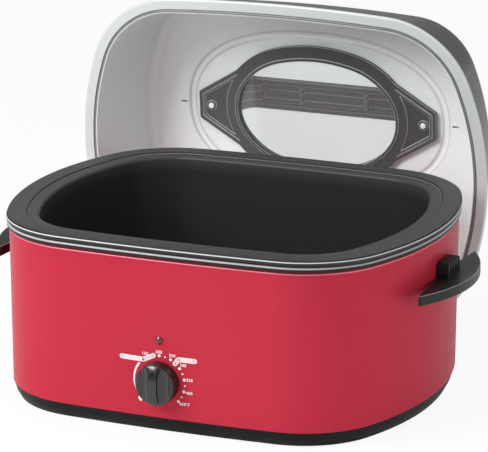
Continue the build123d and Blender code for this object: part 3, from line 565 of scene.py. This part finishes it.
white_ink = Finish("white_ink", Roughness=0.5)
ink_patch = white_ink.noise(900.0, 3.0)
white_ink.vary(Base_Color=white_ink.mix(ink_patch, rgb(238, 228, 229), rgb(252, 247, 247)))
pale_ink = Finish("pale_ink", Roughness=0.5)
pale_patch = pale_ink.noise(1100.0, 4.0)
pale_ink.vary(Base_Color=pale_ink.mix(pale_patch, rgb(232, 190, 196), rgb(244, 214, 218)))
grey_ink = Finish("grey_ink", Roughness=0.5)
grey_ink.vary(Base_Color=grey_ink.mix(grey_ink.noise(900.0), rgb(92, 44, 54), rgb(110, 58, 68)))

ring_radius = 0.0310
big_dot, small_dot, band_dot = 0.0017, 0.0010, 0.0006
low_band = [(-0.0465, 0.0250), (-0.0197, 0.0243), (-0.0072, 0.0304)]
high_band = [(0.0193, 0.0239), (0.0237, 0.0293), (0.0432, 0.0294)]
band_half, band_line = 0.0028, 0.0009
off_angle, arc_end = -132.0, -51.0
arc_lift, arc_wide, arc_fine = 0.0006, 0.0026, 0.0007
off_lift, off_wide, off_fine = 0.0024, 0.0044, 0.0030
half_step = 13.2  # turn of the knob for each 25 degrees of heat
figure_height = 0.0034

scale = Print("dial_scale", white_ink, 1)
band_fill = Print("dial_band_fill", pale_ink, 2)
band_dots = Print("dial_band_dots", grey_ink, 3)
scale.arc(arc_end, off_angle + 10.0, ring_radius + arc_lift, arc_wide, arc_fine)
scale.arc(off_angle + 3.0, off_angle - 6.0, ring_radius + off_lift, off_fine, off_wide, 6)
for band in (low_band, high_band):
    scale.stroke(band, band_half)
    band_fill.stroke(band, band_half - band_line)
for steps in (-3, -2, 3):
    band_dots.dot(*on_ring(steps * half_step, ring_radius), band_dot)
for steps in (0, 2, 4, 6, 8, 10):
    scale.dot(*on_ring(steps * half_step, ring_radius), big_dot)
for steps in (1, 5, 7, 9):
    scale.dot(*on_ring(steps * half_step, ring_radius), small_dot)
for text, x, z in (
    ("150", -0.0177, 0.0316),
    ("200", -0.0004, 0.0354),
    ("250", 0.0159, 0.0329),
    ("300", 0.0290, 0.0230),
    ("350", 0.0368, 0.0063),
    ("400", 0.0364, -0.0092),
    ("450°F", 0.0305, -0.0232),
):
    scale.words(text, x, z, figure_height)
for inked in (scale, band_fill, band_dots):
    inked.finish_up()

# ---- carrying handles: black moulded crescents on ribbed blocks ----
# Glass-filled nylon with a fine grain, screwed to the ends of the shell. Hands rub the
# crescent smoother towards its outer wall, and a painted highlight runs pale along the rounded upper
# edge.
handle_black = Finish("handle_black", Specular_IOR_Level=0.35)
handle_grain = handle_black.noise(1300.0, 4.0, 0.6)
handle_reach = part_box("handle_right")[1].x
crescent_top, rub_width = 0.1622, 0.012
handle_across = handle_black.axis("X")
edge_rub = (handle_across * handle_across).ramp((handle_reach - rub_width) ** 2, handle_reach**2)
handle_tilt = handle_black.facing("Z")  # between a wall's and a top's on the rounded edge
# painted highlight: a pale line along the crescent's rounded upper edge
handle_edge_highlight = handle_tilt.ramp(0.2, 0.45) * handle_tilt.ramp(0.98, 0.9)
handle_edge_highlight = handle_edge_highlight * (handle_black.axis("Z") < crescent_top)
handle_face = handle_black.mix(handle_grain, rgb(6, 7, 7), rgb(15, 16, 16))
handle_black.vary(Base_Color=handle_black.mix(handle_edge_highlight * 0.45, handle_face, rgb(190, 192, 192)))
handle_black.vary(Roughness=handle_grain.spread(0.36, 0.52, 0.3) - edge_rub * 0.1)
handle_black.bump(handle_grain, 0.00005, radius=0.0008)
dress(handle_black, "handle_left", "handle_right")

# ---- lid: one enamelled dome, black outside and light grey inside ----
# A deep pressing, with a soft bead formed round its window for stiffness. Its flat panel is
# made again here between the pressing's own borders and holes, to carry the bead.
lean = math.radians(6.0)
lid_axis = Vector((0.0, math.cos(lean), math.sin(lean)))  # from the mouth to the top panel
lid_up = Vector((0.0, -math.sin(lean), math.cos(lean)))
panel_in, panel_out = 0.1308, 0.1320  # the top panel's two faces, from the mouth
window_rise = 0.020  # the window's middle over the lid's
bead_half_length, bead_half_depth = 0.1738, 0.1045
bead_fullness = 2.3  # 2 is an ellipse, and more is squarer
bead_half_width, bead_lift = 0.0072, 0.0024
bead_points, bead_rings = 240, 8
weld_gap, level_gap, seam_gap, place_gap = 5e-6, 1e-5, 4e-5, 1e-7  # these count as no distance
upright = 0.02  # how far a hole's wall may lean, as a slope
crease = math.radians(32.0)


def middle_of(measures):
    """Halfway from the least to the greatest of some measures."""
    return (min(measures) + max(measures)) / 2


rim_points = [point.co for point in nodes["lid_rim"].data.vertices]
lid_mouth = min(point.dot(lid_axis) for point in rim_points)
across_middle = middle_of([point.x for point in rim_points])
lid_middle = Vector((across_middle, middle_of([point.dot(lid_up) for point in rim_points])))


def on_panel(point):
    """Place across and up the lid, from the middle of the window."""
    return Vector((point.x - lid_middle.x, point.dot(lid_up) - lid_middle.y - window_rise))


def in_lid(place, height):
    """The point at a place on the panel and a height over the mouth."""
    flat = lid_up * (place.y + lid_middle.y + window_rise) + lid_axis * (height + lid_mouth)
    return flat + Vector((place.x + lid_middle.x, 0.0, 0.0))


def on_bead(share):
    """A point of the bead's middle line, a rounded oval."""
    c, s = math.cos(2 * math.pi * share), math.sin(2 * math.pi * share)
    power = 2 / bead_fullness
    return Vector((
        math.copysign(bead_half_length * abs(c) ** power, c),
        math.copysign(bead_half_depth * abs(s) ** power, s),
    ))


bead_loops = []  # the places and the lift of each line of points along the bead
for ring in range(bead_rings + 1):
    offset = bead_half_width * (2 * ring / bead_rings - 1)
    lift = bead_lift * math.cos(math.pi / 2 * offset / bead_half_width) ** 2
    places = []
    for i in range(bead_points):
        run = on_bead((i + 0.5) / bead_points) - on_bead((i - 0.5) / bead_points)
        out = Vector((run.y, -run.x)).normalized()
        places.append(on_bead(i / bead_points) + out * offset)
    bead_loops.append((places, lift))

dome = bmesh.new()
dome.from_mesh(nodes["lid_shell"].data)
bmesh.ops.remove_doubles(dome, verts=dome.verts, dist=weld_gap)
dome.normal_update()
height_of = {v: v.co.dot(lid_axis) - lid_mouth for v in dome.verts}


def is_level(item, height):
    """Whether an edge or a face of the dome lies at one height over the mouth."""
    return all(abs(height_of[v] - height) < level_gap for v in item.verts)


def is_border(edge, height):
    """Whether an edge parts the panel's flat from the shoulder or from a hole's wall."""
    if not is_level(edge, height):
        return False
    for face in edge.link_faces:
        heights = [height_of[v] for v in face.verts]
        if min(heights) < height - level_gap:
            return True
        rises = height + level_gap < max(heights) < panel_out + level_gap
        if rises and abs(face.normal.dot(lid_axis)) < upright:
            return True
    return False


def is_within(place, borders):
    """Whether a place lies in the sheet, by counting the borders to its right."""
    crossings = 0
    for a, b in borders:
        if (a.y > place.y) != (b.y > place.y):
            crossings += place.x < a.x + (b.x - a.x) * (place.y - a.y) / (b.y - a.y)
    return crossings % 2 == 1


# The panel's two flat faces are taken out as far as their borders.
skins = {}  # the closed borders of each face
for height in (panel_in, panel_out):
    loose = [edge for edge in dome.edges if is_border(edge, height)]
    ends = [v for edge in loose for v in edge.verts]
    skins[height] = [edge for edge in loose if all(ends.count(v) == 2 for v in edge.verts)]
kept_edges = set(skins[panel_in] + skins[panel_out])
old = {face for face in dome.faces if is_level(face, panel_in) or is_level(face, panel_out)}
front = list(old)
while front:
    for edge in front.pop().edges:
        if edge in kept_edges:
            continue
        for face in edge.link_faces:
            if face not in old:
                old.add(face)
                front.append(face)
bmesh.ops.delete(dome, geom=[face for face in dome.faces if face in old], context="FACES_ONLY")

# Each is filled again between its borders and the lines of the bead.
for height, border in skins.items():
    held = list(dict.fromkeys(v for edge in border for v in edge.verts))
    index = {v: i for i, v in enumerate(held)}
    places = [on_panel(v.co) for v in held]
    lines = [tuple(index[v] for v in edge.verts) for edge in border]
    borders = [(places[a], places[b]) for a, b in lines]
    lifts = [0.0] * len(places)
    for loop, lift in bead_loops:
        first = len(places)
        places += loop
        lifts += [lift] * bead_points
        lines += [(first + i, first + (i + 1) % bead_points) for i in range(bead_points)]
    made_places, _, triangles, sources, _, _ = delaunay_2d_cdt(places, lines, [], 0, place_gap)
    corners = []
    for place, source in zip(made_places, sources):
        if source and source[0] < len(held):
            corners.append(held[source[0]])
        else:
            lift = lifts[source[0]] if source else 0.0
            corners.append(dome.verts.new(in_lid(place, height + lift)))
    for triangle in triangles:
        middle = sum((made_places[i] for i in triangle), Vector((0.0, 0.0))) / 3
        if is_within(middle, borders):
            order = triangle if height == panel_in else triangle[::-1]
            dome.faces.new([corners[i] for i in order])

# The seams are closed, and what no face uses is dropped.
seams = [v for edge in dome.edges if len(edge.link_faces) == 1 for v in edge.verts]
bmesh.ops.remove_doubles(dome, verts=list(dict.fromkeys(seams)), dist=seam_gap)
bmesh.ops.delete(dome, geom=[e for e in dome.edges if not e.link_faces], context="EDGES")
bmesh.ops.delete(dome, geom=[v for v in dome.verts if not v.link_faces], context="VERTS")
lid_mesh = bpy.data.meshes.new("lid_dome")
dome.to_mesh(lid_mesh)
dome.free()
lid_mesh.shade_smooth()
lid_mesh.set_sharp_from_angle(angle=crease)

# Each side has its own enamel: a glossy light grey inside, and deep black outside. Inside,
# painted shade greys the left wall, the bead's flanks and the hem by the mouth, and painted
# highlights pale the shoulder and the bead's crown.
lid_enamel = Finish("lid_enamel", Coat_Roughness=0.12)
is_outside = lid_enamel.along(lid_enamel.normal(), lid_axis) > 0.0
into_lid = lid_enamel.along(lid_enamel.place(), lid_axis) - lid_mouth
flank_start, flank_full = panel_in + 0.0001, panel_in + 0.0007
crown_start, crown_full = panel_in + 0.0012, panel_in + 0.0020
# painted highlight on the bead's crown and painted shade on its flanks
bead_crown_highlight = into_lid.ramp(crown_start, crown_full)
bead_flank_shade = into_lid.ramp(flank_start, flank_full) * (1 - bead_crown_highlight)
shoulder_foot, shoulder_bend, shoulder_top = panel_in - 0.014, panel_in - 0.005, panel_in - 0.0002
# painted highlight: a pale band round the shoulder inside the lid
shoulder = into_lid.ramp(shoulder_foot, shoulder_bend) * into_lid.ramp(shoulder_top, shoulder_bend)
heart = in_lid(Vector((0.0, -window_rise)), panel_in / 2)
to_heart = {0: lid_enamel.place(), 1: heart}
from_heart = lid_enamel.node("ShaderNodeVectorMath", {"operation": "SUBTRACT"}, to_heart)
away = lid_enamel.along(lid_enamel.normal(), from_heart)
hem_top, hem_full = 0.0032, 0.0024
# painted shade: a dark line along the hem by the mouth
hem_shade = into_lid.ramp(hem_top, hem_full) * (away > 0.05)
cloud = lid_enamel.noise(30.0, 4.0)
lid_peel = lid_enamel.noise(260.0, 2.0)
inside_grey = lid_enamel.mix(cloud, rgb(234, 239, 239), rgb(243, 247, 247))
# painted shade: the inside left wall is greyer
left_wall_shade = lid_enamel.facing("X").ramp(0.25, 0.85)
inside_grey = lid_enamel.mix(left_wall_shade * 0.6, inside_grey, rgb(196, 199, 199))
inside_grey = lid_enamel.mix(shoulder * 0.5, inside_grey, rgb(250, 251, 251))
inside_grey = lid_enamel.mix(bead_flank_shade * 0.5, inside_grey, rgb(176, 180, 180))
inside_grey = lid_enamel.mix(bead_crown_highlight * 0.7, inside_grey, rgb(252, 253, 253))
inside_grey = lid_enamel.mix(hem_shade, inside_grey, rgb(108, 110, 110))
outside_black = lid_enamel.mix(cloud, rgb(20, 21, 22), rgb(32, 34, 35))
lid_enamel.vary(Base_Color=lid_enamel.mix(is_outside, inside_grey, outside_black))
lid_enamel.vary(Roughness=cloud.spread(0.3, 0.38))
lid_enamel.vary(Coat_Weight=cloud.spread(0.25, 0.4))
lid_enamel.bump(lid_peel, 0.00002, 0.4)
lid_mesh.materials.append(lid_enamel.material)
lid_dome = bpy.data.objects.new("lid_dome", lid_mesh)
bpy.context.scene.collection.objects.link(lid_dome)
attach(lid_dome, "lid")
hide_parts("lid_shell")

# ---- steam louvres: two small hoods on the outside of the lid's vents ----
# Each is pressed up over its slit in the panel and left open along its lower edge, under
# the same enamel as the dome.
vent_reach = 0.186
louvre_reach, louvre_rise, louvre_lift = 0.0075, 0.0045, 0.0032
louvre_foot = 0.55  # how far it reaches under the slit, as a share of its rise
louvre_gap = 0.0001
louvre_columns, louvre_rows = 12, 8
for name, side in (("vent_louvre_left", -1), ("vent_louvre_right", 1)):
    points, faces = [], []
    for j in range(louvre_rows + 1):
        up = (1 + louvre_foot) * j / louvre_rows - louvre_foot
        for i in range(louvre_columns + 1):
            across = 2 * i / louvre_columns - 1
            bulge = math.sqrt(max(0.0, 1 - across**2)) * math.sqrt(max(0.0, 1 - up**2))
            place = Vector((side * vent_reach + louvre_reach * across, louvre_rise * up))
            points.append(in_lid(place, panel_out + louvre_gap + louvre_lift * bulge))
    for j in range(louvre_rows):
        for i in range(louvre_columns):
            corner = j * (louvre_columns + 1) + i
            faces.append((corner, corner + louvre_columns + 1, corner + louvre_columns + 2, corner + 1))
    louvre = add_mesh(name, points, faces, lid_enamel)
    louvre.data.shade_smooth()
    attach(louvre, "lid")

# ---- lid rim: a channel of stainless strip, rolled over the dome's edge ----
# Satin grey lacquer over the fine brushing of the strip, with painted shade darkening its
# edges and hem, and painted light making it paler low down, where the lid stands on the table.
rim_grey_lacquer = Finish(
    "rim_grey_lacquer", Metallic=0.05, Coat_Roughness=0.15, Specular_IOR_Level=0.25
)
rim_brush = rim_grey_lacquer.noise(1400.0, 3.0)
rim_face = rim_grey_lacquer.mix(rim_brush, rgb(186, 189, 190), rgb(196, 199, 200))
pale_top, pale_full = 0.20, 0.10  # heights that the lacquer pales between, near the table
# painted light: the rim is paler low down, near the table
rim_foot_light = rim_grey_lacquer.axis("Z").ramp(pale_top, pale_full)
rim_face = rim_grey_lacquer.mix(rim_foot_light, rim_face, rgb(222, 240, 240))
# painted shade: dark lines along the rim's edges and hem
rim_edge_shade = rim_grey_lacquer.edge(0.0012)
rim_grey_lacquer.vary(Base_Color=rim_grey_lacquer.mix(rim_edge_shade * 0.9, rim_face, rgb(112, 116, 116)))
rim_grey_lacquer.vary(Roughness=rim_brush.spread(0.26, 0.36))
rim_grey_lacquer.vary(Coat_Weight=rim_brush.spread(0.2, 0.35))
dress(rim_grey_lacquer, "lid_rim")

# ---- lid screws: two countersunk screws, nickel plated and left dull ----
# They go from the inside through the window's lugs and the panel, into the lid's handle.
dull_nickel = Finish("dull_nickel", Metallic=0.2, Specular_IOR_Level=0.4)
nickel_haze = dull_nickel.noise(700.0, 3.0)
dull_nickel.vary(Base_Color=dull_nickel.mix(nickel_haze, rgb(234, 238, 238), rgb(250, 252, 252)))
dull_nickel.vary(Roughness=nickel_haze.spread(0.42, 0.55))
dress(dull_nickel, "lid_screws")

# ---- window: tempered glass between a moulded frame and a bezel ----
# The black phenolic frame stands on the inside and the bezel on the outside; the glass
# sits in its gasket between them, faintly green at the edge.
frame_black = Finish("frame_black", Specular_IOR_Level=0.5)
frame_grain = frame_black.noise(1100.0, 4.0, 0.6)
frame_face = frame_black.mix(frame_grain, rgb(66, 68, 69), rgb(80, 82, 83))
# painted highlights: light lines along the edges of the frame and bezel
frame_black.vary(Base_Color=frame_black.mix(frame_black.edge(0.0011), frame_face, rgb(226, 228, 228)))
frame_black.vary(Roughness=frame_grain.spread(0.34, 0.48, 0.3))
frame_black.bump(frame_grain, 0.00005, radius=0.0006)
dress(frame_black, "window_frame", "window_bezel")

clear_glass = Finish("clear_glass", Roughness=0.02, IOR=1.45, Transmission_Weight=0.9)
smear = clear_glass.noise(12.0, 3.0)
clear_glass.vary(Base_Color=clear_glass.mix(smear, rgb(220, 225, 224), rgb(230, 234, 233)))
dress(clear_glass, "window_glass")

# ---- lid handle: a hollow moulded bridge on the window's two lugs ----
# Black phenolic, with three ribs along the grip whose crests carry painted highlights as pale lines,
# also seen through the glass, and painted highlights along its edges. The lid's two screws hold it.
grip_black = Finish("grip_black", Specular_IOR_Level=0.5)
grip_grain = grip_black.noise(1300.0, 4.0, 0.6)
grip_face = grip_black.mix(grip_grain, rgb(56, 70, 71), rgb(70, 84, 85))
grip_up = grip_black.along(grip_black.place(), lid_up) - (lid_middle.y + window_rise)
rib_half, rib_flat = 0.0009, 0.0004
# painted highlights: pale lines on the crests of the three ribs
for rib_up in (0.0105, 0.0030, -0.0085):
    rib_highlight = grip_up.ramp(rib_up - rib_half, rib_up - rib_flat)
    rib_highlight = rib_highlight * grip_up.ramp(rib_up + rib_half, rib_up + rib_flat)
    grip_face = grip_black.mix(rib_highlight * 0.8, grip_face, rgb(226, 229, 230))
# painted highlights: pale lines along the handle's edges
grip_black.vary(Base_Color=grip_black.mix(grip_black.edge(0.0016), grip_face, rgb(226, 229, 230)))
grip_black.vary(Roughness=grip_grain.spread(0.32, 0.5, 0.3))
grip_black.bump(grip_grain, 0.00005, radius=0.0008)
dress(grip_black, "lid_handle")
